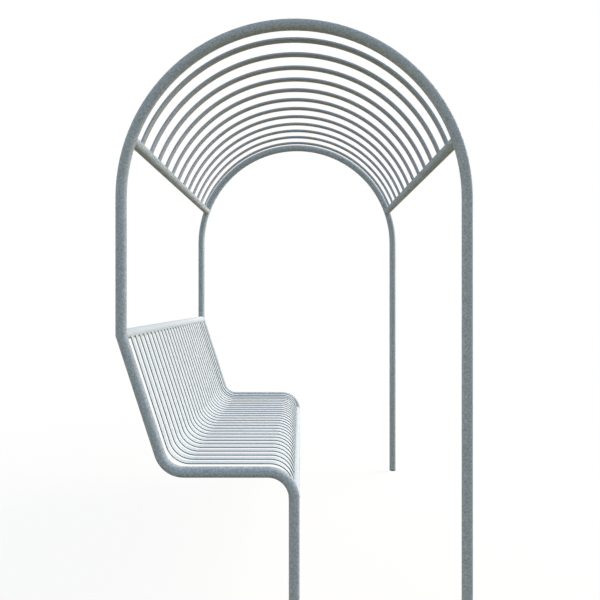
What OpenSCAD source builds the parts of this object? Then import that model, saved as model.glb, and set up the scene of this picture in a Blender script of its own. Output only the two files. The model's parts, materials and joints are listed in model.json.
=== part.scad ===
// Shaded bench: two bent tube side frames, four cross rails, slats that run in one sweep
// down the back and along the seat, and a slatted canopy in the top of the arches.
// It is welded throughout and has no moving part.
// X runs across the arches towards the open side, Y along the bench, Z up.
// The origin lies on the ground, midway between the side frames, under the arches' middle.

/* [Overall] */
// Width over the two sides of an arch
overall_w = 1200; // [1100:10:1300]
// Length over the two side frames
overall_l = 1500; // [1300:10:1800]
// Height over the top of the arches
overall_h = 1980; // [1900:10:2200]

/* [Tube] */
// Outside diameter of every tube
tube_d = 36.5; // [34:0.5:42]
// Wall thickness of every tube
tube_wall = 2.5; // [2:0.1:3.5]
// Radius of the seat tubes' rear bend, on the centre line
rear_bend_r = 85; // [60:1:95]
// Radius of the seat tubes' front bend, on the centre line
front_bend_r = 89; // [60:1:95]
// Root gap left for the weld where two pieces meet
weld_gap = 0.2; // [0.1:0.05:0.5]

/* [Seat] */
// Height of the top of the seat tubes above the ground
seat_top = 476; // [430:1:500]
// Height of the mitre where the back leaves the upright
mitre_h = 919; // [860:1:1000]
// Lean of the back from the vertical
back_lean = 18; // [12:0.1:22]
// Height of the centre line of the rail under the seat's front edge
front_rail_z = 372; // [340:1:390]
// Offset of the front legs from the middle of the arches, towards the open side
front_leg_x = 0; // [-40:1:60]

/* [Seat slats] */
// Number of slats that make the seat and back
seat_slat_count = 27; // [20:1:30]
// Width of a seat slat, along the bench
seat_slat_w = 26; // [20:1:34]
// Thickness of a seat slat
seat_slat_t = 3.5; // [3:0.5:8]
// Rise of a seat slat's middle above the centre line of the seat tubes
seat_slat_rise = 12; // [8:0.1:14]
// Radius of a seat slat's rear bend, at its middle
seat_slat_rear_r = 88; // [60:1:95]
// Radius of a seat slat's front bend, at its middle
seat_slat_front_r = 82; // [60:1:90]
// Set-back of a seat slat's front end behind the middle of the front legs
seat_slat_set_back = 2.5; // [0:0.1:8]
// Distance of the outermost seat slats from the middle of the side frames
seat_slat_margin = 65; // [40:0.1:90]

/* [Canopy] */
// Number of slats in the canopy
shade_slat_count = 12; // [6:1:14]
// Width of a canopy slat, along the bench
shade_slat_w = 30; // [20:1:40]
// Thickness of a canopy slat
shade_slat_t = 6; // [4:0.5:10]
// Angle from the top of the arch down to either canopy rail
shade_half_angle = 70.4; // [50:0.1:80]
// Distance of the outermost canopy slats from the middle of the side frames
shade_slat_margin = 106.5; // [60:0.5:150]

/* [Feet] */
// Height of a foot's flange under its leg
foot_flange_h = 8; // [4:0.5:12]
// Length of a foot's spigot inside its leg
foot_spigot_h = 34; // [30:1:60]
// Clearance of the spigot in the leg, on the radius
foot_clearance = 0.2; // [0.05:0.05:0.5]
// Chamfer round a foot's lower edge
foot_chamfer = 1.5; // [0.5:0.1:3]
// Diameter of a foot's tapped hole for a ground anchor
foot_thread_d = 10.2; // [8.5:0.1:14]
// Depth of a foot's tapped hole
foot_thread_depth = 30; // [20:1:32]

/* [Hidden] */
$fn = 96;
tube_r = tube_d / 2;
bore_r = tube_r - tube_wall;
// Radius that a piece is cut back to where it ends on a tube
cope_r = tube_r + weld_gap;
// Length by which a cut or a bore runs past the end of what it cuts
past = 2 * tube_d;
// Length ground off the thin tips where a rail's end is shaped round a single tube
tip_trim = 4;
// Draw-in of a rear bend on each side, where bending stretches the metal
bend_draw = 0.05;
// Length by which a slat's straight laps into the rear bend next to it
bend_lap = 0.5;
// Length and depth of the taper by which a seat tube narrows into its rear bend
bend_taper_l = 3;
bend_taper_d = 0.25;

arch_r = overall_w / 2 - tube_r;
arch_z = overall_h - tube_r - arch_r;
frame_y = overall_l / 2 - tube_r;
leg_foot_z = foot_flange_h + weld_gap;

seat_z = seat_top - tube_r;
front_leg_top = seat_z - front_bend_r;
back_turn = 90 - back_lean;
// Where the centre lines of the back and the seat would cross
corner_x = (mitre_h - seat_z) * tan(back_lean) - arch_r;
corner_run = rear_bend_r * tan(back_turn / 2);
rear_bend_x = corner_x + corner_run;
front_bend_x = front_leg_x - front_bend_r;
back_length = (mitre_h - seat_z) / cos(back_lean);

slat_seat_z = seat_z + seat_slat_rise;
slat_front_x = front_leg_x - seat_slat_set_back;
// Where the middle lines of a slat's back and seat would cross
slat_corner_x = corner_x + seat_slat_rise * (1 - sin(back_lean)) / cos(back_lean);
slat_corner_run = seat_slat_rear_r * tan(back_turn / 2);
slat_back_length = (mitre_h - slat_seat_z) / cos(back_lean);
seat_slat_pitch = 2 * (frame_y - seat_slat_margin) / (seat_slat_count - 1);

shade_rail_x = arch_r * sin(shade_half_angle);
shade_rail_z = arch_z + arch_r * cos(shade_half_angle);
shade_slat_pitch = 2 * (frame_y - shade_slat_margin) / (shade_slat_count - 1);

function two_digits(i) = str(i < 10 ? "0" : "", i);

// Straight bar of radius r through the point (x, z) of a side frame, leaning back from
// the vertical, that starts and ends at these distances above the point. Its "start" or
// its "end" can narrow into a bend. The half turn puts its seam in line with the bend's.
module straight_bar(x, z, lean, start, end, r, narrow = "") {
    length = end - start;
    tip_r = r - bend_taper_d;
    translate([x, 0, z])
        rotate([0, -lean, 0])
            translate([0, 0, start])
                rotate([0, 0, 180]) {
                    cylinder(h = length, r = r);
                    if (narrow == "start")
                        translate([0, 0, -bend_taper_l])
                            cylinder(h = bend_taper_l, r1 = tip_r, r2 = r);
                    if (narrow == "end")
                        translate([0, 0, length])
                            cylinder(h = bend_taper_l, r1 = r, r2 = tip_r);
                }
}

// Bar of radius r bent about the point (x, z), from one angle above the X axis by a turn
module bent_bar(x, z, from, turn, bend_radius, r) {
    translate([x, 0, z])
        rotate([90, 0, 0])
            rotate([0, 0, from])
                rotate_extrude(angle = turn)
                    translate([bend_radius, 0])
                        circle(r = r);
}

// Bar of radius r along an arch tube's centre line, longer at its foot by extra
// and running past the mitre
module arch_run(r, extra) {
    straight_bar(arch_r, leg_foot_z, 0, -extra, arch_z - leg_foot_z, r);
    bent_bar(0, arch_z, 0, 180, arch_r, r);
    straight_bar(-arch_r, mitre_h, 0, -past, arch_z - mitre_h, r);
}

// Bar of radius r along a seat tube's centre line, longer at its foot by extra
// and running past the mitre
module seat_run(r, extra) {
    straight_bar(corner_x, seat_z, back_lean, corner_run, back_length + past, r, "start");
    bent_bar(
        rear_bend_x, seat_z + rear_bend_r, 180 + back_lean, back_turn, rear_bend_r, r - bend_draw
    );
    straight_bar(front_bend_x, seat_z, 90, 0, front_bend_x - rear_bend_x, r, "end");
    bent_bar(front_bend_x, front_leg_top, 0, 90, front_bend_r, r);
    straight_bar(front_leg_x, leg_foot_z, 0, -extra, front_leg_top - leg_foot_z, r);
}

// Everything from this distance on above the mitre between the two tubes of a frame
module above_mitre(distance) {
    translate([-arch_r, 0, mitre_h])
        rotate([0, -back_lean / 2, 0])
            translate([-2 * past, -2 * past, distance])
                cube(4 * past);
}

// Everything from this distance on below the mitre between the two tubes of a frame
module below_mitre(distance) {
    translate([-arch_r, 0, mitre_h])
        rotate([0, -back_lean / 2, 0])
            translate([-2 * past, -2 * past, -distance - 4 * past])
                cube(4 * past);
}

// Arch tube: long leg, half circle and short upright down to the mitre
module arch_tube() {
    color("lightslategray")
        difference() {
            arch_run(tube_r, 0);
            arch_run(bore_r, past);
            below_mitre(-weld_gap / 2);
        }
}

// Seat tube: leaning back, seat and front leg, up to the mitre
module seat_tube() {
    color("lightslategray")
        difference() {
            seat_run(tube_r, 0);
            seat_run(bore_r, past);
            above_mitre(-weld_gap / 2);
        }
}

// Tube along the bench at the point (x, z), its ends still square and short of the
// frames' planes by this trim
module rail_tube(x, z, trim) {
    translate([x, 0, z])
        rotate([90, 0, 0])
            difference() {
                cylinder(h = 2 * (frame_y - trim), r = tube_r, center = true);
                cylinder(h = 2 * (frame_y + past), r = bore_r, center = true);
            }
}

// Places a copy of a frame's shape in the plane of each side frame
module at_both_frames() {
    for (side = [-1, 1]) translate([0, side * frame_y, 0]) children();
}

// Top rail of the back, shaped round the mitres of both frames
module back_rail() {
    color("gainsboro")
        difference() {
            rail_tube(-arch_r, mitre_h, weld_gap);
            at_both_frames()
                difference() {
                    arch_run(cope_r, 0);
                    below_mitre(weld_gap);
                }
            at_both_frames()
                difference() {
                    seat_run(cope_r, 0);
                    above_mitre(weld_gap);
                }
        }
}

// Rail under the seat's front edge, between the front legs
module front_rail() {
    color("gainsboro")
        difference() {
            rail_tube(front_leg_x, front_rail_z, tip_trim);
            at_both_frames() seat_run(cope_r, 0);
        }
}

// Canopy rail between the arches, on the seat's side (-1) or the open side (1)
module shade_rail(side) {
    color("gainsboro")
        difference() {
            rail_tube(side * shade_rail_x, shade_rail_z, tip_trim);
            at_both_frames()
                straight_bar(
                    side * shade_rail_x, shade_rail_z, side * (90 - shade_half_angle),
                    -past, past, cope_r
                );
        }
}

// Flat bend about the point (x, z), from one angle above the X axis by a turn
module flat_bend(x, z, from, turn, mid_r, thickness) {
    reach = 2 * (mid_r + thickness);
    translate([x, z])
        rotate(from)
            intersection() {
                difference() {
                    circle(r = mid_r + thickness / 2);
                    circle(r = mid_r - thickness / 2);
                }
                polygon([
                    [0, 0],
                    for (i = [0 : 3]) [reach * cos(turn * i / 3), reach * sin(turn * i / 3)]
                ]);
            }
}

// Flat strip through the point (x, z), leaning back from the vertical, that starts and
// ends at these distances above the point
module flat_strip(x, z, lean, start, end, thickness) {
    translate([x, z])
        rotate(lean)
            translate([-thickness / 2, start])
                square([thickness, end - start]);
}

// Side view of a seat slat: back, rear bend, seat, front bend and tail
module seat_slat_profile() {
    t = seat_slat_t;
    rear_x = slat_corner_x + slat_corner_run;
    front_x = slat_front_x - seat_slat_front_r;
    front_z = slat_seat_z - seat_slat_front_r;
    difference() {
        union() {
            flat_strip(
                slat_corner_x, slat_seat_z, back_lean, slat_corner_run - bend_lap,
                slat_back_length, t
            );
            flat_bend(
                rear_x, slat_seat_z + seat_slat_rear_r, 180 + back_lean, back_turn,
                seat_slat_rear_r, t - 2 * bend_draw
            );
            flat_strip(front_x, slat_seat_z, 90, 0, front_x - rear_x + bend_lap, t);
            flat_bend(front_x, front_z, 0, 90, seat_slat_front_r, t);
            flat_strip(slat_front_x, front_rail_z, 0, 0, front_z - front_rail_z, t);
        }
        translate([-arch_r, mitre_h]) circle(r = cope_r);
        translate([front_leg_x, front_rail_z]) circle(r = cope_r);
    }
}

// Seat slat, counted from the near frame
module seat_slat(i) {
    color("lightsteelblue")
        translate([0, seat_slat_margin - frame_y + (i - 1) * seat_slat_pitch, 0])
            rotate([90, 0, 0])
                linear_extrude(height = seat_slat_w, center = true)
                    seat_slat_profile();
}

// Side view of a canopy slat: an arc on the arches' line, cut to both rails
module shade_slat_profile() {
    difference() {
        flat_bend(
            0, arch_z, 90 - shade_half_angle, 2 * shade_half_angle, arch_r, shade_slat_t
        );
        for (side = [-1, 1]) translate([side * shade_rail_x, shade_rail_z]) circle(r = cope_r);
    }
}

// Canopy slat, counted from the near frame
module shade_slat(i) {
    color("lightsteelblue")
        translate([0, shade_slat_margin - frame_y + (i - 1) * shade_slat_pitch, 0])
            rotate([90, 0, 0])
                linear_extrude(height = shade_slat_w, center = true)
                    shade_slat_profile();
}

// Foot at (x, y): a flange under the leg, a spigot inside it and a tapped hole
module foot(x, y) {
    spigot_r = bore_r - foot_clearance;
    color("dimgray")
        translate([x, y, 0])
            difference() {
                union() {
                    cylinder(h = foot_chamfer, r1 = tube_r - foot_chamfer, r2 = tube_r);
                    translate([0, 0, foot_chamfer])
                        cylinder(h = foot_flange_h - foot_chamfer, r = tube_r);
                    translate([0, 0, foot_flange_h])
                        cylinder(h = foot_spigot_h, r = spigot_r);
                }
                translate([0, 0, -1]) cylinder(h = foot_thread_depth + 1, r = foot_thread_d / 2);
            }
}

translate([0, -frame_y, 0]) arch_tube();  // near_arch_tube
translate([0, frame_y, 0]) arch_tube();  // far_arch_tube
translate([0, -frame_y, 0]) seat_tube();  // near_seat_tube
translate([0, frame_y, 0]) seat_tube();  // far_seat_tube
back_rail();
front_rail();
shade_rail(-1);  // rear_shade_rail
shade_rail(1);  // front_shade_rail
foot(front_leg_x, -frame_y);  // near_front_foot
foot(front_leg_x, frame_y);  // far_front_foot
foot(arch_r, -frame_y);  // near_arch_foot
foot(arch_r, frame_y);  // far_arch_foot
for (i = [1 : seat_slat_count])
    seat_slat(i);
for (i = [1 : shade_slat_count])
    shade_slat(i);
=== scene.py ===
"""Shaded bench: finishes, weld beads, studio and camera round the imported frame.

Every length is in metres, in the frame's own axes: X across the arches towards the open
side, Y along the bench, Z up, with the origin on the ground under the arches' middle.
"""

import json
import logging
import math
from collections.abc import Callable
from dataclasses import dataclass
from enum import Enum

import bmesh
import bpy
from mathutils import Matrix, Vector

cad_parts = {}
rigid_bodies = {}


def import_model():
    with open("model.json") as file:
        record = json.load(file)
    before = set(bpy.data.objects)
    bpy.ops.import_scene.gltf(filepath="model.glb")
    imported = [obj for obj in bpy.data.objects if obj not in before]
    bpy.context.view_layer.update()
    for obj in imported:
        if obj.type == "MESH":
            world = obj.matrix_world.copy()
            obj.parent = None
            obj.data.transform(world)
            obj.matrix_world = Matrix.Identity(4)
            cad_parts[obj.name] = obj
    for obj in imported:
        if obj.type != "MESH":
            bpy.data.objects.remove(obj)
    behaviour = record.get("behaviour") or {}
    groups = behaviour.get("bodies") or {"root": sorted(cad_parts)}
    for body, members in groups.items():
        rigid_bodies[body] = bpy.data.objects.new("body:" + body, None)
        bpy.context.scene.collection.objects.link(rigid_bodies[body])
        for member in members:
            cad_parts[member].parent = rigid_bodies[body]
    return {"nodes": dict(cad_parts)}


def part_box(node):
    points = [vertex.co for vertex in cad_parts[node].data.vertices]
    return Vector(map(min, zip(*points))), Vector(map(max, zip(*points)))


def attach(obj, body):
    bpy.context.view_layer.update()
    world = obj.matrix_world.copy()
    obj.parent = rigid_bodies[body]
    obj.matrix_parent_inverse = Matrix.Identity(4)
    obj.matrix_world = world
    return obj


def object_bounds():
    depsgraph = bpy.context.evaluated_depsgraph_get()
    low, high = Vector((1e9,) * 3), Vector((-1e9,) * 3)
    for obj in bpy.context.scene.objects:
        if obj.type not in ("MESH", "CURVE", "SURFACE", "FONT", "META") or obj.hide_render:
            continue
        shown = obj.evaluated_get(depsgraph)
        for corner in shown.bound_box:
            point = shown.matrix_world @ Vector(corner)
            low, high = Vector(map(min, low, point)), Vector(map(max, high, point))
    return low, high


for leftover in list(bpy.data.objects):
    bpy.data.objects.remove(leftover)

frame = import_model()
CAD_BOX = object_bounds()

LOG = logging.getLogger("shaded_bench")
BODY = "root"
MM = 0.001
# Points of a piece that lie nearer to each other than this are one point
MERGE_REACH = 0.01 * MM
# How far a dressed bead stays under the surfaces that it is dressed flush with
FLUSH_DEPTH = 0.03 * MM

Colour = tuple[float, float, float]
Point = tuple[float, float, float]

WHITE: Colour = (1.0, 1.0, 1.0)
BLACK: Colour = (0.0, 0.0, 0.0)


class Side(Enum):
    """The two side frames of the bench."""

    NEAR = -1
    FAR = 1


class SlatFace(Enum):
    """The face of a slat that a bead lies on, seen the way that the slat leaves its rail."""

    RIGHT = -1
    LEFT = 1


class Slot(Enum):
    """Material slots of the record that the weld beads belong to."""

    TUBE = "zinc_tube"
    SLAT = "zinc_slat"


@dataclass(frozen=True)
class BenchSizes:
    """Sizes that the weld beads need.

    Those without a value here are read from the frame's boxes, and the others repeat the
    part's own, because no box shows them.

    Attributes:
        tube_r: Outside radius of every tube.
        frame_y: Distance of a side frame's middle from the origin, along the bench.
        arch_r: Radius of the arches' centre line.
        arch_z: Height of the arches' centre.
        mitre_h: Height of the mitre between the back and the upright.
        front_rail: X and Z of the front rail's centre line.
        shade_rail: X and Z of the front canopy rail's centre line.
        back_lean: Lean of the back from the vertical, in radians.
        front_bend_r: Radius of the front bend's centre line.
        seat_top: Height of the seat tubes' upper side.
        seat_slat_rise: Rise of a seat slat's middle above the tubes' centre line.
        seat_slat_t: Thickness of a seat slat.
        seat_slat_set_back: Set-back of a seat slat's tail behind the front legs.
        shade_slat_t: Thickness of a canopy slat.
    """

    tube_r: float
    frame_y: float
    arch_r: float
    arch_z: float
    mitre_h: float
    front_rail: tuple[float, float]
    shade_rail: tuple[float, float]
    back_lean: float = math.radians(18)
    front_bend_r: float = 0.089
    seat_top: float = 0.476
    seat_slat_rise: float = 0.012
    seat_slat_t: float = 0.0035
    seat_slat_set_back: float = 0.0025
    shade_slat_t: float = 0.006

    @classmethod
    def from_frame(cls) -> "BenchSizes":
        """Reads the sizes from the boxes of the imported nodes.

        Returns:
            The sizes of the bench.
        """
        foot_low, foot_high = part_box("near_arch_foot")
        tube_r = (foot_high.x - foot_low.x) / 2
        arch_r = (foot_high.x + foot_low.x) / 2
        arch_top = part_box("near_arch_tube")[1].z
        return cls(
            tube_r=tube_r,
            frame_y=-(foot_high.y + foot_low.y) / 2,
            arch_r=arch_r,
            arch_z=arch_top - tube_r - arch_r,
            mitre_h=middle_of("back_rail").z,
            front_rail=(middle_of("front_rail").x, middle_of("front_rail").z),
            shade_rail=(middle_of("front_shade_rail").x, middle_of("front_shade_rail").z),
        )


def middle_of(node: str) -> Vector:
    """Finds the middle of a node's box.

    Args:
        node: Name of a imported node.

    Returns:
        The middle of its box.
    """
    low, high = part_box(node)
    return (low + high) / 2


def nodes_named(start: str) -> list[str]:
    """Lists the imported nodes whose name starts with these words, in order.

    Args:
        start: First letters of the names.

    Returns:
        The names.
    """
    return sorted(name for name in frame["nodes"] if name.startswith(start))


def nodes_ending(end: str) -> list[str]:
    """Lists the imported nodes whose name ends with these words, in order.

    Args:
        end: Last letters of the names.

    Returns:
        The names.
    """
    return sorted(name for name in frame["nodes"] if name.endswith(end))


class NodeGroup:
    """A shader node group that is made once and placed in several materials."""

    def __init__(self, name: str) -> None:
        """Starts an empty group.

        Args:
            name: Name of the group.
        """
        self.tree = bpy.data.node_groups.new(name, "ShaderNodeTree")
        self.inputs = self.tree.nodes.new("NodeGroupInput")
        self.outputs = self.tree.nodes.new("NodeGroupOutput")

    def value_in(self, name: str, default: float) -> bpy.types.NodeSocket:
        """Adds a number input.

        Args:
            name: Name of the input.
            default: Its value where a material sets none.

        Returns:
            The socket inside the group.
        """
        socket = self.tree.interface.new_socket(
            name, in_out="INPUT", socket_type="NodeSocketFloat"
        )
        socket.default_value = default
        return self.inputs.outputs[name]

    def value_out(self, name: str, source: bpy.types.NodeSocket) -> None:
        """Adds a number output.

        Args:
            name: Name of the output.
            source: Socket that it shows.
        """
        self.tree.interface.new_socket(
            name, in_out="OUTPUT", socket_type="NodeSocketFloat"
        )
        self.tree.links.new(source, self.outputs.inputs[name])


class Wiring:
    """Short ways to add the nodes that the finishes use most to one node tree."""

    def __init__(self, tree: bpy.types.NodeTree) -> None:
        """Keeps the tree.

        Args:
            tree: A material's or a group's node tree.
        """
        self.tree = tree

    def feed(self, socket: bpy.types.NodeSocket, value: object) -> None:
        """Links an input to a value that is a socket, and sets it to any other.

        Args:
            socket: Input socket of a node.
            value: Output socket, number or colour.
        """
        if isinstance(value, bpy.types.NodeSocket):
            self.tree.links.new(value, socket)
        else:
            socket.default_value = value

    def math(
        self, operation: str, first: object, second: object = 0.0
    ) -> bpy.types.NodeSocket:
        """Adds a Math node.

        Args:
            operation: Blender's name of the operation.
            first: Socket or number.
            second: Socket or number.

        Returns:
            The node's result.
        """
        node = self.tree.nodes.new("ShaderNodeMath")
        node.operation = operation
        self.feed(node.inputs[0], first)
        self.feed(node.inputs[1], second)
        return node.outputs[0]

    def remap(
        self, value: object, old: tuple[object, object], new: tuple[float, float] = (0.0, 1.0)
    ) -> bpy.types.NodeSocket:
        """Maps a value from one range to another, clamped.

        Args:
            value: Socket that is mapped.
            old: Range of the value, as numbers or sockets.
            new: Range that it is mapped to.

        Returns:
            The mapped value.
        """
        node = self.tree.nodes.new("ShaderNodeMapRange")
        for name, number in zip(("From Min", "From Max", "To Min", "To Max"), (*old, *new)):
            self.feed(node.inputs[name], number)
        self.feed(node.inputs["Value"], value)
        return node.outputs["Result"]

    def noise(self, place: object, scale: object, detail: float) -> bpy.types.NodeSocket:
        """Adds a Noise texture.

        Args:
            place: Socket with the coordinates.
            scale: Features per metre, as a socket or number.
            detail: Octaves of the noise.

        Returns:
            The noise, from 0 to 1.
        """
        node = self.tree.nodes.new("ShaderNodeTexNoise")
        self.feed(node.inputs["Vector"], place)
        self.feed(node.inputs["Scale"], scale)
        node.inputs["Detail"].default_value = detail
        return node.outputs["Fac"]

    def mix(self, share: object, first: object, second: object) -> bpy.types.NodeSocket:
        """Mixes two colours.

        Args:
            share: Share of the second colour.
            first: Colour or socket.
            second: Colour or socket.

        Returns:
            The mixed colour.
        """
        node = self.tree.nodes.new("ShaderNodeMix")
        node.data_type = "RGBA"
        self.feed(node.inputs[0], share)
        for socket, value in ((node.inputs[6], first), (node.inputs[7], second)):
            self.feed(socket, (*value, 1.0) if isinstance(value, tuple) else value)
        return node.outputs[2]

    def axis(self, vector: bpy.types.NodeSocket, name: str) -> bpy.types.NodeSocket:
        """Picks one component of a vector.

        Args:
            vector: Socket with the vector.
            name: X, Y or Z.

        Returns:
            The component.
        """
        node = self.tree.nodes.new("ShaderNodeSeparateXYZ")
        self.tree.links.new(vector, node.inputs[0])
        return node.outputs[name]

    def object_place(self) -> bpy.types.NodeSocket:
        """Returns the Object coordinates."""
        return self.tree.nodes.new("ShaderNodeTexCoord").outputs["Object"]

    def relief(self, shader: bpy.types.Node, height: object, depth: float) -> None:
        """Gives a shader a fine relief.

        Args:
            shader: A Principled BSDF.
            height: Socket with the height of the relief.
            depth: Depth of the relief.
        """
        bump = self.tree.nodes.new("ShaderNodeBump")
        bump.inputs["Distance"].default_value = depth
        self.feed(bump.inputs["Height"], height)
        self.feed(shader.inputs["Normal"], bump.outputs["Normal"])

    def group(self, group: NodeGroup, **values: float) -> bpy.types.Node:
        """Places a group.

        Args:
            group: The group.
            **values: Its inputs by name, with _ for a space.

        Returns:
            The group node.
        """
        node = self.tree.nodes.new("ShaderNodeGroup")
        node.node_tree = group.tree
        for name, number in values.items():
            node.inputs[name.replace("_", " ")].default_value = number
        return node


def zinc_mottle_group() -> NodeGroup:
    """Makes the fine mottled grain of a sprayed zinc coat.

    Returns:
        A group with the grain, its slow clouding and the height of its skin.
    """
    times_finer = 3.1
    coarse_share = 0.7
    grain_range = 0.38, 0.62
    cloud_range = 0.3, 0.7
    fine_height = 0.5
    group = NodeGroup("zinc_mottle")
    grain_scale = group.value_in("Grain Scale", default=320.0)
    cloud_scale = group.value_in("Cloud Scale", default=9.0)
    wiring = Wiring(group.tree)
    place = wiring.object_place()
    fine_scale = wiring.math("MULTIPLY", grain_scale, times_finer)
    coarse = wiring.noise(place, grain_scale, detail=3.0)
    fine = wiring.noise(place, fine_scale, detail=2.0)
    cloud = wiring.noise(place, cloud_scale, detail=4.0)
    grain = wiring.math(
        "ADD",
        wiring.math("MULTIPLY", coarse, coarse_share),
        wiring.math("MULTIPLY", fine, 1 - coarse_share),
    )
    height = wiring.math("ADD", grain, wiring.math("MULTIPLY", fine, fine_height))
    group.value_out("Grain", wiring.remap(grain, grain_range))
    group.value_out("Cloud", wiring.remap(cloud, cloud_range))
    group.value_out("Height", height)
    return group


def edge_rub_group() -> NodeGroup:
    """Makes the mask of edges that the coat paints brighter, partly as rubbed wear and partly
    as painted highlight.

    Returns:
        A group with the mask of the brightened edges.
    """
    sharp_range = 0.99, 0.8
    patch_scale = 60.0
    patch_range = 0.35, 0.6
    least_rub = 0.2
    group = NodeGroup("edge_rub")
    width = group.value_in("Width", default=0.6 * MM)
    wiring = Wiring(group.tree)
    bevel = wiring.tree.nodes.new("ShaderNodeBevel")
    bevel.samples = 4
    wiring.feed(bevel.inputs["Radius"], width)
    geometry = wiring.tree.nodes.new("ShaderNodeNewGeometry")
    dot = wiring.tree.nodes.new("ShaderNodeVectorMath")
    dot.operation = "DOT_PRODUCT"
    wiring.feed(dot.inputs[0], bevel.outputs["Normal"])
    wiring.feed(dot.inputs[1], geometry.outputs["Normal"])
    broken = wiring.noise(wiring.object_place(), patch_scale, detail=2.0)
    edge = wiring.remap(dot.outputs["Value"], sharp_range)
    patches = wiring.remap(broken, patch_range, (least_rub, 1.0))
    group.value_out("Edge", wiring.math("MULTIPLY", edge, patches))
    return group


def narrow_edge_group() -> NodeGroup:
    """Makes the mask of surfaces that face along the bench, such as the slats' edges, which
    get painted shade on the seat and painted blue sky light on the canopy.

    Returns:
        A group with the mask.
    """
    facing_range = 0.7, 0.95
    group = NodeGroup("narrow_edge")
    wiring = Wiring(group.tree)
    normal = wiring.tree.nodes.new("ShaderNodeNewGeometry").outputs["Normal"]
    facing = wiring.math("ABSOLUTE", wiring.axis(normal, "Y"))
    group.value_out("Edge", wiring.remap(facing, facing_range))
    return group


def leg_end_group() -> NodeGroup:
    """Makes the mask of the bright ring where a leg ends on its foot.

    Returns:
        A group with the mask.
    """
    full_share = 0.8
    group = NodeGroup("leg_end")
    top = group.value_in("Top", default=14 * MM)
    wiring = Wiring(group.tree)
    height = wiring.axis(wiring.object_place(), "Z")
    full = wiring.math("MULTIPLY", top, full_share)
    group.value_out("Ring", wiring.remap(height, (top, full)))
    return group


@dataclass(frozen=True)
class CoatGroups:
    """Node groups that the finishes share.

    Attributes:
        mottle: Makes the grain.
        edge_rub: Masks the edges that are painted brighter, as rubbed wear and painted
            highlight.
        narrow_edge: Masks the slats' narrow edges, for their painted shade and painted sky
            light.
        leg_end: Masks the ring at a leg's lower end.
    """

    mottle: NodeGroup
    edge_rub: NodeGroup
    narrow_edge: NodeGroup
    leg_end: NodeGroup

    @classmethod
    def made(cls) -> "CoatGroups":
        """Makes the groups.

        Returns:
            The groups.
        """
        return cls(
            mottle=zinc_mottle_group(),
            edge_rub=edge_rub_group(),
            narrow_edge=narrow_edge_group(),
            leg_end=leg_end_group(),
        )


class Finish:
    """Base of the finishes: makes its material the first time that it is asked for.

    Attributes:
        name: Name of the material.
    """

    name: str

    def material(self) -> bpy.types.Material:
        """Makes the finish's material, or returns the one that was made before.

        Returns:
            The material.
        """
        found = bpy.data.materials.get(self.name)
        if found is not None and found.get("finished"):
            return found
        made = found or bpy.data.materials.new(self.name)
        made.use_nodes = True
        made.node_tree.nodes.clear()
        made["finished"] = True
        output = made.node_tree.nodes.new("ShaderNodeOutputMaterial")
        shader = made.node_tree.nodes.new("ShaderNodeBsdfPrincipled")
        made.node_tree.links.new(shader.outputs["BSDF"], output.inputs["Surface"])
        self.dress(Wiring(made.node_tree), shader)
        return made

    def dress(self, wiring: Wiring, shader: bpy.types.Node) -> None:
        """Wires the finish's own nodes to its shader.

        Args:
            wiring: The material's wiring.
            shader: Its Principled BSDF.
        """
        raise NotImplementedError


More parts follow.
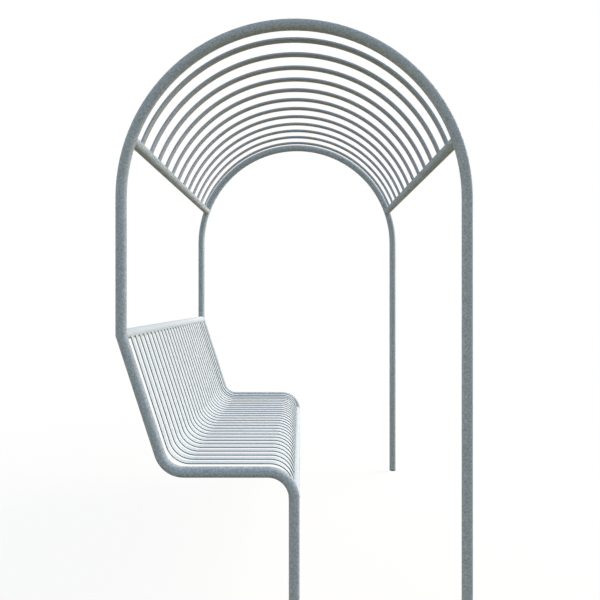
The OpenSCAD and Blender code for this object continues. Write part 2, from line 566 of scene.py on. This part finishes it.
@dataclass(frozen=True)
class ZincCoat(Finish):
    """Matte zinc-grey metal coat with a fine mottled grain.

    Attributes:
        name: Name of the material.
        groups: Shared node groups.
        dark: Colour of the grain's hollows.
        light: Colour of its crests.
        rubbed_and_highlit: Colour of the brightened edges, partly rubbed wear and partly
            painted highlight.
        painted_edge_shading_colour: Colour painted on the slats' narrow edges, which face
            along the bench: dark as painted shade on the seat, blue as painted sky light on
            the canopy.
        painted_edge_shading_share: Share of that painted colour there, from 0 to 1.
        rub_and_highlight_share: Share of the brightened edges' colour on those edges.
        ring_share: Share of the brightened edges' colour at a leg's lower end.
        grain_scale: Grains per metre.
        clouding: How far the slow clouds darken the coat, from 0 to 1.
        roughness: Roughness of the coat, from its crests to its hollows.
        metallic: Share of metal in the coat.
        gloss: Strength of the reflection at the coat's surface.
        skin: Depth of the grain.
    """

    name: str
    groups: CoatGroups
    dark: Colour
    light: Colour
    rubbed_and_highlit: Colour
    # Dark colour that paints shade on the slats' narrow edges
    painted_edge_shading_colour: Colour = (0.10, 0.12, 0.14)
    painted_edge_shading_share: float = 0.0
    rub_and_highlight_share: float = 0.5
    ring_share: float = 0.6
    grain_scale: float = 180.0
    clouding: float = 0.12
    roughness: tuple[float, float] = (0.58, 0.76)
    metallic: float = 0.03
    gloss: float = 0.1
    skin: float = 0.14 * MM

    def dress(self, wiring: Wiring, shader: bpy.types.Node) -> None:
        """Wires grain, clouding, edges brightened as wear and painted highlight, the slats'
        painted edge shading, roughness and skin to the shader.

        Args:
            wiring: The material's wiring.
            shader: Its Principled BSDF.
        """
        mottle = wiring.group(self.groups.mottle, Grain_Scale=self.grain_scale)
        grain = mottle.outputs["Grain"]
        colour = wiring.mix(grain, self.dark, self.light)
        rub = wiring.group(self.groups.edge_rub).outputs["Edge"]
        ring = wiring.group(self.groups.leg_end).outputs["Ring"]
        narrow = wiring.group(self.groups.narrow_edge).outputs["Edge"]
        for mask, share, over in (
            (mottle.outputs["Cloud"], self.clouding, self.dark),
            # Edges painted brighter: partly rubbed wear, partly painted highlight
            (rub, self.rub_and_highlight_share, self.rubbed_and_highlit),
            (ring, self.ring_share, self.rubbed_and_highlit),
            # The slats' narrow edges get their painted colour: shade on the seat, blue sky
            # light on the canopy
            (narrow, self.painted_edge_shading_share, self.painted_edge_shading_colour),
        ):
            colour = wiring.mix(wiring.math("MULTIPLY", mask, share), colour, over)
        wiring.feed(shader.inputs["Base Color"], colour)
        smooth, rough = self.roughness
        wiring.feed(
            shader.inputs["Roughness"], wiring.remap(grain, (0.0, 1.0), (rough, smooth))
        )
        shader.inputs["Metallic"].default_value = self.metallic
        shader.inputs["Specular IOR Level"].default_value = self.gloss
        wiring.relief(shader, mottle.outputs["Height"], self.skin)


@dataclass(frozen=True)
class FootSteel(Finish):
    """Dark satin steel of the feet, with a fine turned grain.

    Attributes:
        name: Name of the material.
        groups: Shared node groups.
        dark: Colour of the hollows.
        light: Colour of the crests.
        crest_share: Share of the crests' colour at the top of the grain.
        grain_scale: Grains per metre.
        cloud_scale: Clouds per metre.
        roughness: Roughness, from the bare patches to the clouded ones.
        metallic: Share of metal.
        skin: Depth of the grain.
    """

    name: str
    groups: CoatGroups
    dark: Colour
    light: Colour
    crest_share: float = 0.6
    grain_scale: float = 520.0
    cloud_scale: float = 40.0
    roughness: tuple[float, float] = (0.38, 0.55)
    metallic: float = 0.6
    skin: float = 0.05 * MM

    def dress(self, wiring: Wiring, shader: bpy.types.Node) -> None:
        """Wires the grain to colour, roughness and skin.

        Args:
            wiring: The material's wiring.
            shader: Its Principled BSDF.
        """
        mottle = wiring.group(
            self.groups.mottle, Grain_Scale=self.grain_scale, Cloud_Scale=self.cloud_scale
        )
        share = wiring.math("MULTIPLY", mottle.outputs["Grain"], self.crest_share)
        wiring.feed(shader.inputs["Base Color"], wiring.mix(share, self.dark, self.light))
        wiring.feed(
            shader.inputs["Roughness"],
            wiring.remap(mottle.outputs["Cloud"], (0.0, 1.0), self.roughness),
        )
        shader.inputs["Metallic"].default_value = self.metallic
        wiring.relief(shader, mottle.outputs["Height"], self.skin)


class Piece:
    """One object of the dressed bench, made from a bmesh."""

    def __init__(self, name: str, slot: Slot, finish: Finish) -> None:
        """Starts an empty piece.

        Args:
            name: Name of the object.
            slot: Material slot of the record that its finish belongs to; not used.
            finish: Its finish.
        """
        self.name = name
        self.slot = slot
        self.finish = finish
        self.mesh = bmesh.new()

    def close(self) -> bpy.types.Object:
        """Turns the bmesh into a closed object that rides on the bench.

        Returns:
            The object.
        """
        bmesh.ops.remove_doubles(self.mesh, verts=self.mesh.verts, dist=MERGE_REACH)
        bmesh.ops.recalc_face_normals(self.mesh, faces=self.mesh.faces)
        for face in self.mesh.faces:
            face.smooth = True
        data = bpy.data.meshes.new(self.name)
        self.mesh.to_mesh(data)
        self.mesh.free()
        data.materials.append(self.finish.material())
        made = bpy.data.objects.new(self.name, data)
        bpy.context.scene.collection.objects.link(made)
        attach(made, BODY)
        LOG.info("%s: %d faces", self.name, len(data.polygons))
        return made


@dataclass(frozen=True)
class BeadShape:
    """Section and ripple of a weld bead that runs round a joint.

    Attributes:
        radius: Radius of the bead where the two tubes meet square.
        thin: Share of the radius left where the tubes' surfaces run together.
        ripple: Share by which the ripples swell the bead.
        ripples: Number of ripples round the joint.
        stations: Sections round the joint.
        sides: Sides of a section.
    """

    radius: float = 0.0024
    thin: float = 0.4
    ripple: float = 0.07
    ripples: int = 60
    stations: int = 180
    sides: int = 10


Section = tuple[Vector, Vector, Vector]


def dressed_flush(point: Vector) -> Vector:
    """Keeps a point of a bead under the outermost surfaces of the bench.

    Args:
        point: The point.

    Returns:
        The point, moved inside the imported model's box.
    """
    low, high = CAD_BOX
    return Vector(
        min(max(at, start + FLUSH_DEPTH), end - FLUSH_DEPTH)
        for at, start, end in zip(point, low, high)
    )


def ring_of_sections(
    mesh: bmesh.types.BMesh, shape: BeadShape, section_at: Callable[[float], Section]
) -> None:
    """Spins a ring and carries each of its sections to its place on a joint.

    Args:
        mesh: The bmesh that the ring is added to.
        shape: Number of stations and sides of the ring.
        section_at: Gives, for an angle round the joint, the middle of the section there
            and the two half-axes that its circle is stretched to.
    """
    # The ring is far wider than its section, so that its sections stay apart
    ring_r = 10.0
    circle = bmesh.ops.create_circle(
        mesh,
        segments=shape.sides,
        radius=1.0,
        matrix=Matrix.Translation((ring_r, 0, 0)) @ Matrix.Rotation(math.pi / 2, 4, "X"),
    )
    edges = list({edge for vert in circle["verts"] for edge in vert.link_edges})
    before = set(mesh.verts) - set(circle["verts"])
    bmesh.ops.spin(
        mesh,
        geom=circle["verts"] + edges,
        axis=(0, 0, 1),
        cent=(0, 0, 0),
        angle=2 * math.pi,
        steps=shape.stations,
        use_merge=True,
    )
    for vert in set(mesh.verts) - before:
        angle = math.atan2(vert.co.y, vert.co.x)
        across = math.hypot(vert.co.x, vert.co.y) - ring_r
        middle, first, second = section_at(angle)
        vert.co = dressed_flush(middle + first * across + second * vert.co.z)


@dataclass
class FrameTube:
    """Centre line of a side frame's tube near a joint, in the frame's own XZ plane.

    Attributes:
        nearest: Gives the nearest point (x, z) of the centre line to a point (x, z).
    """

    nearest: Callable[[float, float], tuple[float, float]]

    @classmethod
    def line(cls, x: float, z: float, lean: float) -> "FrameTube":
        """Describes a straight tube.

        Args:
            x: X of a point of its centre line.
            z: Z of that point.
            lean: Lean of the tube towards the back, in radians.

        Returns:
            The tube.
        """
        along = Vector((-math.sin(lean), math.cos(lean)))
        base = Vector((x, z))

        def nearest(point_x: float, point_z: float) -> tuple[float, float]:
            """Drops a point on to the line."""
            found = base + along * (Vector((point_x, point_z)) - base).dot(along)
            return found.x, found.y

        return cls(nearest)

    @classmethod
    def bend(cls, x: float, z: float, radius: float) -> "FrameTube":
        """Describes a bent tube.

        Args:
            x: X of the bend's centre.
            z: Z of the bend's centre.
            radius: Radius of the tube's centre line.

        Returns:
            The tube.
        """
        centre = Vector((x, z))

        def nearest(point_x: float, point_z: float) -> tuple[float, float]:
            """Moves a point to the bend, straight from or to the centre."""
            found = centre + (Vector((point_x, point_z)) - centre).normalized() * radius
            return found.x, found.y

        return cls(nearest)

    @classmethod
    def joined(
        cls, upper: "FrameTube", lower: "FrameTube", is_upper: Callable[[float, float], bool]
    ) -> "FrameTube":
        """Joins two tubes that meet.

        Args:
            upper: The upper tube.
            lower: The lower tube.
            is_upper: Tells whether a point (x, z) belongs to the upper tube.

        Returns:
            The joined tube.
        """
        return cls(lambda x, z: (upper if is_upper(x, z) else lower).nearest(x, z))


@dataclass
class RailWelds:
    """Beads where a rail's two ends are welded to the side frames.

    Attributes:
        sizes: Sizes of the bench.
        rail: Name of the rail's node.
        at: X and Z of the rail's centre line.
        tube: Centre line of the side frames' tube there.
        finish: Finish of the beads.
        shape: Section of the beads.
    """

    sizes: BenchSizes
    rail: str
    at: tuple[float, float]
    tube: FrameTube
    finish: Finish
    shape: BeadShape = BeadShape()

    def root(self, angle: float, side: Side) -> tuple[Vector, float]:
        """Finds a point of the root of the weld.

        Args:
            angle: Angle round the rail.
            side: Side frame.

        Returns:
            The point where the rail's surface meets the tube's, and how square they are
            to each other there, from 0 to 1.
        """
        r = self.sizes.tube_r
        x = self.at[0] + r * math.cos(angle)
        z = self.at[1] + r * math.sin(angle)
        near_x, near_z = self.tube.nearest(x, z)
        distance = math.hypot(x - near_x, z - near_z)
        reach = math.sqrt(max(r * r - distance * distance, 0.0))
        y = side.value * (self.sizes.frame_y - reach)
        slope = (x - near_x) * math.cos(angle) + (z - near_z) * math.sin(angle)
        return Vector((x, y, z)), 1 - min(abs(slope) / r, 1.0)

    def bead(self, side: Side) -> bpy.types.Object:
        """Makes the bead at one end of the rail.

        Args:
            side: Side frame.

        Returns:
            The bead.
        """
        shape = self.shape
        step = 2 * math.pi / shape.stations

        def section_at(angle: float) -> Section:
            """Sets a section square to the root of the weld.

            Args:
                angle: Angle round the rail.

            Returns:
                The section's middle and half-axes.
            """
            middle, square = self.root(angle, side)
            along = self.root(angle + step, side)[0] - self.root(angle - step, side)[0]
            outward = Vector((math.cos(angle), 0, math.sin(angle)))
            outward -= along * outward.dot(along) / along.length_squared
            outward.normalize()
            across = along.cross(outward).normalized()
            swell = 1 + shape.ripple * math.sin(angle * shape.ripples)
            radius = shape.radius * (shape.thin + (1 - shape.thin) * square) * swell
            return middle, outward * radius, across * radius

        piece = Piece(f"{self.rail}_{side.name.lower()}_weld", Slot.TUBE, self.finish)
        ring_of_sections(piece.mesh, shape, section_at)
        return piece.close()

    def build(self) -> None:
        """Makes the beads at both ends."""
        for side in Side:
            self.bead(side)


@dataclass
class MitreWeld:
    """Dressed bead round the mitre between an arch tube and a seat tube.

    Attributes:
        sizes: Sizes of the bench.
        side: Side frame.
        finish: Finish of the bead.
        half_width: Half of its width along the tube.
        crown: Height of the bead on the inner side, where it isn't ground flush.
        shape: Stations and sides of the bead.
    """

    sizes: BenchSizes
    side: Side
    finish: Finish
    half_width: float = 0.003
    crown: float = 0.0004
    shape: BeadShape = BeadShape(stations=96, sides=12)

    def section_at(self, angle: float) -> Section:
        """Gives the bead's section at an angle round the tube.

        Args:
            angle: Angle round the tube, from the open side.

        Returns:
            The section's middle and half-axes.
        """
        sizes = self.sizes
        lean = sizes.back_lean / 2
        outward = Vector((math.cos(angle), math.sin(angle), 0))
        along = Vector((-math.sin(lean), 0, math.cos(lean)))
        inner, outer = max(math.cos(angle), 0.0), max(-math.cos(angle), 0.0)
        height = self.crown * math.sqrt(inner) + FLUSH_DEPTH
        # On the outer side the bead lies deeper, so that its tilted edge stays flush
        depth = 2 * FLUSH_DEPTH + outer * self.half_width * math.sin(lean)
        rise = math.tan(lean) * sizes.tube_r * math.cos(angle)
        middle = Vector((-sizes.arch_r, self.side.value * sizes.frame_y, sizes.mitre_h + rise))
        middle += outward * (sizes.tube_r - depth)
        return middle, outward * height, along * self.half_width

    def build(self) -> None:
        """Makes the bead."""
        piece = Piece(f"{self.side.name.lower()}_mitre_weld", Slot.TUBE, self.finish)
        ring_of_sections(piece.mesh, self.shape, self.section_at)
        piece.close()


@dataclass
class SlatWelds:
    """Short beads along the ends of a row of slats, where they meet a rail.

    Attributes:
        name: Name of the piece.
        slats: Names of the slats' nodes.
        at: X and Z of the rail's centre line.
        turn: Angle from the X axis to the direction in which the slats leave the rail.
        offset: Distance of the slats' middle from the rail's centre line, to the left of
            that direction.
        thickness: Thickness of the slats.
        faces: Faces of the slats that have a bead.
        tube_r: Outside radius of the rail.
        finish: Finish of the beads.
        radius: Radius of a bead.
        inset: How much shorter a bead is than the slat is wide, at each end.
        ripples: Ripples along a bead.
        ripple: Share by which a bead narrows between two ripples.
        sides: Sides of a bead.
    """

    name: str
    slats: list[str]
    at: tuple[float, float]
    turn: float
    offset: float
    thickness: float
    faces: tuple[SlatFace, ...]
    tube_r: float
    finish: Finish
    radius: float = 0.0018
    inset: float = 0.0015
    ripples: int = 4
    ripple: float = 0.1
    sides: int = 8

    def bead(self, mesh: bmesh.types.BMesh, middle: Vector, length: float) -> None:
        """Turns one bead about its own axis, along the bench.

        Args:
            mesh: The bmesh that the bead is added to.
            middle: Middle of the bead.
            length: Its length.
        """
        rings = 2 * self.ripples + 1
        profile = []
        for i in range(rings + 1):
            share = i / rings
            swell = math.sqrt(math.sin(math.pi * share)) * (1 - self.ripple * (i % 2))
            place = Vector((self.radius * swell, (share - 0.5) * length, 0))
            profile.append(mesh.verts.new(middle + place))
        edges = [mesh.edges.new(pair) for pair in zip(profile, profile[1:])]
        bmesh.ops.spin(
            mesh,
            geom=profile + edges,
            axis=(0, 1, 0),
            cent=middle,
            angle=2 * math.pi,
            steps=self.sides,
            use_merge=True,
        )

    def build(self) -> None:
        """Makes all the beads of the row as one piece."""
        piece = Piece(self.name, Slot.SLAT, self.finish)
        away = Vector((math.cos(self.turn), 0, math.sin(self.turn)))
        left = Vector((-math.sin(self.turn), 0, math.cos(self.turn)))
        for slat in self.slats:
            low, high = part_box(slat)
            y = (low.y + high.y) / 2
            for face in self.faces:
                aside = self.offset + face.value * self.thickness / 2
                ahead = math.sqrt(self.tube_r ** 2 - aside ** 2)
                middle = Vector((self.at[0], y, self.at[1])) + away * ahead + left * aside
                self.bead(piece.mesh, middle, high.y - low.y - 2 * self.inset)
        piece.close()


@dataclass
class CoatedNodes:
    """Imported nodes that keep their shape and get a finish.

    Attributes:
        nodes: Names of the nodes.
        finish: Their finish.
    """

    nodes: list[str]
    finish: Finish

    def build(self) -> None:
        """Puts the finish on every node."""
        for name in self.nodes:
            materials = frame["nodes"][name].data.materials
            materials.clear()
            materials.append(self.finish.material())
            LOG.info("%s: %s", name, self.finish.name)


@dataclass(frozen=True)
class SoftLamp:
    """A square area lamp of the studio.

    Attributes:
        name: Name of the lamp.
        place: Where it hangs.
        size: Length of its side.
        power: Power in watts.
        colour: Colour of its light.
        aim: Point that it looks at.
    """

    name: str
    place: Point
    size: float
    power: float
    colour: Colour
    aim: Point = (0.0, 0.0, 1.0)

    def build(self) -> None:
        """Hangs the lamp and turns it to what it lights."""
        light = bpy.data.lights.new(self.name, "AREA")
        light.shape = "SQUARE"
        light.size = self.size
        light.energy = self.power
        light.color = self.colour
        lamp = bpy.data.objects.new(self.name, light)
        place = Vector(self.place)
        turn = (Vector(self.aim) - place).to_track_quat("-Z", "Y")
        lamp.matrix_world = Matrix.LocRotScale(place, turn, None)
        bpy.context.scene.collection.objects.link(lamp)


@dataclass(frozen=True)
class PhotoCamera:
    """Camera at the photograph's viewing angle: level, square to the side frames.

    Attributes:
        place: Where it stands.
        focal_px: Focal length in pixels of the photograph.
        centre_px: Pixel that the camera looks at straight on.
        photo_px: Width and height of the photograph.
        sensor_mm: Width of the sensor.
        clip_end: Distance beyond which nothing is drawn.
    """

    place: Point = (0.0212, -2.53335, 1.035)
    focal_px: float = 536.0
    centre_px: tuple[float, float] = (300.5, 300.3)
    photo_px: float = 600.0
    sensor_mm: float = 36.0
    clip_end: float = 200.0

    def build(self) -> None:
        """Makes the camera and gives it to the scene."""
        data = bpy.data.cameras.new("photo_camera")
        data.sensor_width = self.sensor_mm
        data.lens = self.focal_px / self.photo_px * self.sensor_mm
        data.shift_x = 0.5 - self.centre_px[0] / self.photo_px
        data.shift_y = self.centre_px[1] / self.photo_px - 0.5
        data.clip_end = self.clip_end
        camera = bpy.data.objects.new("photo_camera", data)
        camera.location = self.place
        camera.rotation_euler = (math.pi / 2, 0, 0)
        bpy.context.scene.collection.objects.link(camera)
        bpy.context.scene.camera = camera


@dataclass
class Studio:
    """Plain white floor, a sky with a soft screen at each side, and soft lamps.

    Attributes:
        floor_half: Half of the floor's length.
        floor_colour: Colour of the floor as the object sees it.
        floor_fleck: Colour that the floor's grain mixes in.
        fleck_share: Share of it at the top of the grain.
        fleck_scale: Flecks per metre.
        floor_glow: Brightness of the floor that the camera sees in full shadow.
        floor_seen: Paint that the camera sees on top of that, where light falls.
        shadow_reach: Distances from the bench between which its shadow fades to white.
        sky_middle: Light of the sky overhead and at the bench's two ends.
        sky_left: Light of the soft screen behind the seat's back.
        sky_right: Light of the soft screen at the open side.
        lamps: The lamps.
    """

    floor_half: float = 30.0
    floor_colour: Colour = (0.23, 0.18, 0.085)
    floor_fleck: Colour = (0.3, 0.3, 0.3)
    fleck_share: float = 0.06
    fleck_scale: float = 4.0
    floor_glow: float = 0.885
    floor_seen: Colour = (0.11, 0.10, 0.09)
    shadow_reach: tuple[float, float] = (1.4, 3.0)
    sky_middle: Colour = (0.0, 0.12, 0.36)
    sky_left: Colour = (0.96, 1.07, 1.0)
    sky_right: Colour = (1.0, 1.18, 1.16)
    lamps: tuple[SoftLamp, ...] = (
        SoftLamp(
            "key_lamp",
            place=(4.26, 2.46, 4.44),
            size=3.5,
            power=440.0,
            colour=(1.0, 0.93, 0.84),
        ),
        SoftLamp(
            "front_lamp",
            place=(0.0, -5.9, 2.0),
            size=2.5,
            power=28.0,
            colour=(1.0, 0.84, 0.6),
        ),
    )

    @staticmethod
    def seen_ray(wiring: Wiring) -> bpy.types.NodeSocket:
        """Tells the rays that show the background from those that light the object.

        Args:
            wiring: Wiring of the floor's or the sky's tree.

        Returns:
            1 for camera, glossy and transmission rays, and 0 for others.
        """
        path = wiring.tree.nodes.new("ShaderNodeLightPath").outputs
        seen = wiring.math("MAXIMUM", path["Is Camera Ray"], path["Is Glossy Ray"])
        return wiring.math("MAXIMUM", seen, path["Is Transmission Ray"])

    def build_sky(self) -> None:
        """Makes a sky that is white where it is seen and lights the object from its sides."""
        world = bpy.data.worlds.new("studio_sky")
        world.use_nodes = True
        tree = world.node_tree
        tree.nodes.clear()
        wiring = Wiring(tree)
        output = tree.nodes.new("ShaderNodeOutputWorld")
        background = tree.nodes.new("ShaderNodeBackground")
        seen = self.seen_ray(wiring)
        across = wiring.axis(tree.nodes.new("ShaderNodeTexCoord").outputs["Generated"], "X")
        leftward = wiring.math("MAXIMUM", wiring.math("MULTIPLY", across, -1.0), 0.0)
        rightward = wiring.math("MAXIMUM", across, 0.0)
        lit = wiring.mix(leftward, self.sky_middle, self.sky_left)
        lit = wiring.mix(rightward, lit, self.sky_right)
        wiring.feed(background.inputs["Color"], wiring.mix(seen, lit, WHITE))
        tree.links.new(background.outputs[0], output.inputs["Surface"])
        bpy.context.scene.world = world

    def floor_material(self) -> bpy.types.Material:
        """Makes the floor's material: white where it is seen, with the bench's faint shadow.

        Returns:
            The material.
        """
        material = bpy.data.materials.new("studio_floor")
        material.use_nodes = True
        tree = material.node_tree
        tree.nodes.clear()
        wiring = Wiring(tree)
        output = tree.nodes.new("ShaderNodeOutputMaterial")
        seen = self.seen_ray(wiring)
        grain = wiring.noise(wiring.object_place(), self.fleck_scale, detail=3.0)
        flecks = wiring.math("MULTIPLY", grain, self.fleck_share)
        bare = wiring.mix(flecks, self.floor_colour, self.floor_fleck)
        length = tree.nodes.new("ShaderNodeVectorMath")
        length.operation = "LENGTH"
        wiring.feed(length.inputs[0], wiring.object_place())
        far = wiring.remap(length.outputs["Value"], self.shadow_reach)
        pale = wiring.mix(far, self.floor_seen, BLACK)
        paint = tree.nodes.new("ShaderNodeBsdfDiffuse")
        wiring.feed(paint.inputs["Color"], wiring.mix(seen, bare, pale))
        white = wiring.remap(far, (0.0, 1.0), (self.floor_glow, 1.0))
        glow = tree.nodes.new("ShaderNodeEmission")
        wiring.feed(glow.inputs["Strength"], wiring.math("MULTIPLY", seen, white))
        both = tree.nodes.new("ShaderNodeAddShader")
        tree.links.new(paint.outputs[0], both.inputs[0])
        tree.links.new(glow.outputs[0], both.inputs[1])
        tree.links.new(both.outputs[0], output.inputs["Surface"])
        return material

    def build_floor(self) -> None:
        """Lays the floor."""
        mesh = bmesh.new()
        bmesh.ops.create_grid(mesh, x_segments=1, y_segments=1, size=self.floor_half)
        data = bpy.data.meshes.new("studio_floor")
        mesh.to_mesh(data)
        mesh.free()
        floor = bpy.data.objects.new("studio_floor", data)
        bpy.context.scene.collection.objects.link(floor)
        data.materials.append(self.floor_material())

    def build(self) -> None:
        """Makes the sky, the floor and the lamps."""
        bpy.context.scene.view_settings.view_transform = "Standard"
        self.build_sky()
        self.build_floor()
        for lamp in self.lamps:
            lamp.build()


def rail_welds(sizes: BenchSizes, finish: Finish) -> list[RailWelds]:
    """Lists the welds of the four rails.

    Args:
        sizes: Sizes of the bench.
        finish: Finish of the beads.

    Returns:
        The welds.
    """
    upright = FrameTube.line(-sizes.arch_r, sizes.mitre_h, 0.0)
    back = FrameTube.line(-sizes.arch_r, sizes.mitre_h, sizes.back_lean)
    mitre_slope = math.tan(sizes.back_lean / 2)
    mitre = FrameTube.joined(
        upright, back, lambda x, z: z - sizes.mitre_h > mitre_slope * (x + sizes.arch_r)
    )
    leg_top = sizes.seat_top - sizes.tube_r - sizes.front_bend_r
    front = FrameTube.joined(
        FrameTube.bend(sizes.front_rail[0] - sizes.front_bend_r, leg_top, sizes.front_bend_r),
        FrameTube.line(sizes.front_rail[0], leg_top, 0.0),
        lambda x, z: z > leg_top,
    )
    arch = FrameTube.bend(0.0, sizes.arch_z, sizes.arch_r)
    shade_x, shade_z = sizes.shade_rail
    return [
        RailWelds(sizes, "back_rail", (-sizes.arch_r, sizes.mitre_h), mitre, finish),
        RailWelds(sizes, "front_rail", sizes.front_rail, front, finish),
        RailWelds(sizes, "rear_shade_rail", (-shade_x, shade_z), arch, finish),
        RailWelds(sizes, "front_shade_rail", (shade_x, shade_z), arch, finish),
    ]


def slat_welds(
    sizes: BenchSizes, seat_finish: Finish, shade_finish: Finish
) -> list[SlatWelds]:
    """Lists the rows of beads at the slats' ends.

    Args:
        sizes: Sizes of the bench.
        seat_finish: Finish of the beads on the seat's slats.
        shade_finish: Finish of the beads on the canopy's slats.

    Returns:
        The rows.
    """
    seat = nodes_named("seat_slat_")
    shade = nodes_named("shade_slat_")
    shade_x, shade_z = sizes.shade_rail
    shade_turn = math.atan2(shade_x, shade_z - sizes.arch_z)
    return [
        SlatWelds(
            name="back_rail_slat_welds",
            slats=seat,
            at=(-sizes.arch_r, sizes.mitre_h),
            turn=sizes.back_lean - math.pi / 2,
            offset=sizes.seat_slat_rise,
            thickness=sizes.seat_slat_t,
            faces=(SlatFace.RIGHT,),
            tube_r=sizes.tube_r,
            finish=seat_finish,
        ),
        SlatWelds(
            name="front_rail_slat_welds",
            slats=seat,
            at=sizes.front_rail,
            turn=math.pi / 2,
            offset=sizes.seat_slat_set_back,
            thickness=sizes.seat_slat_t,
            faces=(SlatFace.LEFT,),
            tube_r=sizes.tube_r,
            finish=seat_finish,
        ),
        *(
            SlatWelds(
                name=f"{rail}_slat_welds",
                slats=shade,
                at=(x, shade_z),
                turn=turn,
                offset=0.0,
                thickness=sizes.shade_slat_t,
                faces=tuple(SlatFace),
                tube_r=sizes.tube_r,
                finish=shade_finish,
            )
            for rail, x, turn in (
                ("rear_shade_rail", -shade_x, shade_turn),
                ("front_shade_rail", shade_x, math.pi - shade_turn),
            )
        ),
    ]


def main() -> None:
    """Dresses the bench, piece by piece, and lights it."""
    logging.basicConfig(level=logging.INFO, format="%(name)s: %(message)s")
    PhotoCamera().build()
    sizes = BenchSizes.from_frame()
    groups = CoatGroups.made()
    tube = ZincCoat(
        "zinc_tube",
        groups,
        dark=(0.325, 0.365, 0.405),
        light=(0.59, 0.63, 0.67),
        rubbed_and_highlit=(0.66, 0.70, 0.73),
    )
    # Seat slats: the slat coat painted pale, as painted light on their upward faces
    slat = ZincCoat(
        "zinc_slat",
        groups,
        dark=(0.605, 0.64, 0.675),
        light=(0.685, 0.723, 0.76),
        rubbed_and_highlit=(0.80, 0.84, 0.88),
        # The seat slats' narrow edges are painted dark, as painted shade
        painted_edge_shading_share=0.85,
    )
    # Back and front rails: the tube coat painted paler, as painted light on the sides that
    # face the lamps and screens
    rail = ZincCoat(
        "zinc_rail_painted_light",
        groups,
        dark=(0.58, 0.61, 0.64),
        light=(0.68, 0.71, 0.74),
        rubbed_and_highlit=(0.76, 0.79, 0.82),
    )
    # Canopy slats: the slat coat painted darker and warmer, as painted shade and painted floor
    # light on their undersides
    shade_slat = ZincCoat(
        "zinc_shade_slat_painted_shade",
        groups,
        dark=(0.345, 0.35, 0.365),
        light=(0.52, 0.53, 0.55),
        rubbed_and_highlit=(0.60, 0.64, 0.68),
        # Blue painted sky light on the canopy slats' narrow edges
        painted_edge_shading_colour=(0.46, 0.54, 0.66),
        painted_edge_shading_share=0.8,
    )
    foot = FootSteel("foot_steel", groups, dark=(0.05, 0.06, 0.07), light=(0.13, 0.14, 0.15))
    parts = [
        CoatedNodes(nodes_ending("_tube") + nodes_ending("_shade_rail"), tube),
        CoatedNodes(["back_rail", "front_rail"], rail),
        CoatedNodes(nodes_named("seat_slat_"), slat),
        CoatedNodes(nodes_named("shade_slat_"), shade_slat),
        CoatedNodes(nodes_ending("_foot"), foot),
        *rail_welds(sizes, tube),
        *(MitreWeld(sizes, side, tube) for side in Side),
        *slat_welds(sizes, slat, shade_slat),
    ]
    for part in parts:
        part.build()
    Studio().build()


if __name__ == "__main__":
    main()
